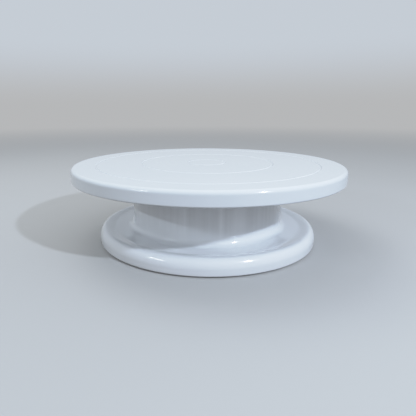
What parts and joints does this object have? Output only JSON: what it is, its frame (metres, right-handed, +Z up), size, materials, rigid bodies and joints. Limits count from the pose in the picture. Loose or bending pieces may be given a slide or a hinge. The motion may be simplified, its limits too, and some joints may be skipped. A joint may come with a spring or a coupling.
{
  "type": "lazy susan turntable",
  "caption": "Round white plastic turntable plate with engraved centring rings, turning without limit on a ball bearing over a flared pedestal base with rubber feet.",
  "frame": {"origin": "on the spin axis, in the plane that the rubber feet stand on", "axes": "+Z up along the spin axis, from the feet to the plate's top face; X and Y are level, and the object is round, so their headings only fix where the feet are: foot_1 is on +X"},
  "size_m": [0.28, 0.28, 0.08],
  "materials": {
    "white_plate": "polished white moulded plastic, slightly cool",
    "white_shell": "polished white moulded plastic, slightly cool",
    "acetal": "natural acetal, satin",
    "race_steel": "pressed and zinc plated, with a polished ball track",
    "ball_steel": "polished bearing steel",
    "zinc_screw": "bright zinc plate",
    "insert_brass": "turned brass",
    "foot_rubber": "matte grey rubber"
  },
  "bodies": {
    "base": {"base_shell": "white_shell", "spindle_bush": "acetal", "lower_race": "race_steel", "lower_race_screws": "zinc_screw", "foot_1": "foot_rubber", "foot_2": "foot_rubber", "foot_3": "foot_rubber", "foot_4": "foot_rubber", "foot_5": "foot_rubber", "foot_6": "foot_rubber"},
    "turntable": {"top_plate": "white_plate", "upper_race": "race_steel", "upper_race_screws": "zinc_screw", "hub_insert": "insert_brass", "retaining_washer": "zinc_screw", "lock_washer": "zinc_screw", "retaining_screw": "zinc_screw"},
    "bearing_cage": {"ball_cage": "acetal"},
    "ball_01_body": {"ball_01": "ball_steel"},
    "ball_02_body": {"ball_02": "ball_steel"},
    "ball_03_body": {"ball_03": "ball_steel"},
    "ball_04_body": {"ball_04": "ball_steel"},
    "ball_05_body": {"ball_05": "ball_steel"},
    "ball_06_body": {"ball_06": "ball_steel"},
    "ball_07_body": {"ball_07": "ball_steel"},
    "ball_08_body": {"ball_08": "ball_steel"},
    "ball_09_body": {"ball_09": "ball_steel"},
    "ball_10_body": {"ball_10": "ball_steel"},
    "ball_11_body": {"ball_11": "ball_steel"},
    "ball_12_body": {"ball_12": "ball_steel"}
  },
  "joints": [
    {"name": "plate_spin", "type": "hinge", "parent": "base", "child": "turntable", "pos_m": [0, 0, 0.07], "axis": [0, 0, 1], "continuous": true},
    {"name": "cage_spin", "type": "hinge", "parent": "base", "child": "bearing_cage", "pos_m": [0, 0, 0.07], "axis": [0, 0, 1], "continuous": true},
    {"name": "ball_01_roll", "type": "hinge", "parent": "bearing_cage", "child": "ball_01_body", "pos_m": [0.05313, 0.01424, 0.07], "axis": [0.9659, 0.2588, 0], "continuous": true},
    {"name": "ball_02_roll", "type": "hinge", "parent": "bearing_cage", "child": "ball_02_body", "pos_m": [0.03889, 0.03889, 0.07], "axis": [0.7071, 0.7071, 0], "continuous": true},
    {"name": "ball_03_roll", "type": "hinge", "parent": "bearing_cage", "child": "ball_03_body", "pos_m": [0.01424, 0.05313, 0.07], "axis": [0.2588, 0.9659, 0], "continuous": true},
    {"name": "ball_04_roll", "type": "hinge", "parent": "bearing_cage", "child": "ball_04_body", "pos_m": [-0.01424, 0.05313, 0.07], "axis": [-0.2588, 0.9659, 0], "continuous": true},
    {"name": "ball_05_roll", "type": "hinge", "parent": "bearing_cage", "child": "ball_05_body", "pos_m": [-0.03889, 0.03889, 0.07], "axis": [-0.7071, 0.7071, 0], "continuous": true},
    {"name": "ball_06_roll", "type": "hinge", "parent": "bearing_cage", "child": "ball_06_body", "pos_m": [-0.05313, 0.01424, 0.07], "axis": [-0.9659, 0.2588, 0], "continuous": true},
    {"name": "ball_07_roll", "type": "hinge", "parent": "bearing_cage", "child": "ball_07_body", "pos_m": [-0.05313, -0.01424, 0.07], "axis": [-0.9659, -0.2588, 0], "continuous": true},
    {"name": "ball_08_roll", "type": "hinge", "parent": "bearing_cage", "child": "ball_08_body", "pos_m": [-0.03889, -0.03889, 0.07], "axis": [-0.7071, -0.7071, 0], "continuous": true},
    {"name": "ball_09_roll", "type": "hinge", "parent": "bearing_cage", "child": "ball_09_body", "pos_m": [-0.01424, -0.05313, 0.07], "axis": [-0.2588, -0.9659, 0], "continuous": true},
    {"name": "ball_10_roll", "type": "hinge", "parent": "bearing_cage", "child": "ball_10_body", "pos_m": [0.01424, -0.05313, 0.07], "axis": [0.2588, -0.9659, 0], "continuous": true},
    {"name": "ball_11_roll", "type": "hinge", "parent": "bearing_cage", "child": "ball_11_body", "pos_m": [0.03889, -0.03889, 0.07], "axis": [0.7071, -0.7071, 0], "continuous": true},
    {"name": "ball_12_roll", "type": "hinge", "parent": "bearing_cage", "child": "ball_12_body", "pos_m": [0.05313, -0.01424, 0.07], "axis": [0.9659, -0.2588, 0], "continuous": true}
  ],
  "couplings": [
    {"joint": "cage_spin", "follows": "plate_spin", "ratio": 0.5},
    {"joint": "ball_01_roll", "follows": "plate_spin", "ratio": -9.1667},
    {"joint": "ball_02_roll", "follows": "plate_spin", "ratio": -9.1667},
    {"joint": "ball_03_roll", "follows": "plate_spin", "ratio": -9.1667},
    {"joint": "ball_04_roll", "follows": "plate_spin", "ratio": -9.1667},
    {"joint": "ball_05_roll", "follows": "plate_spin", "ratio": -9.1667},
    {"joint": "ball_06_roll", "follows": "plate_spin", "ratio": -9.1667},
    {"joint": "ball_07_roll", "follows": "plate_spin", "ratio": -9.1667},
    {"joint": "ball_08_roll", "follows": "plate_spin", "ratio": -9.1667},
    {"joint": "ball_09_roll", "follows": "plate_spin", "ratio": -9.1667},
    {"joint": "ball_10_roll", "follows": "plate_spin", "ratio": -9.1667},
    {"joint": "ball_11_roll", "follows": "plate_spin", "ratio": -9.1667},
    {"joint": "ball_12_roll", "follows": "plate_spin", "ratio": -9.1667}
  ]
}
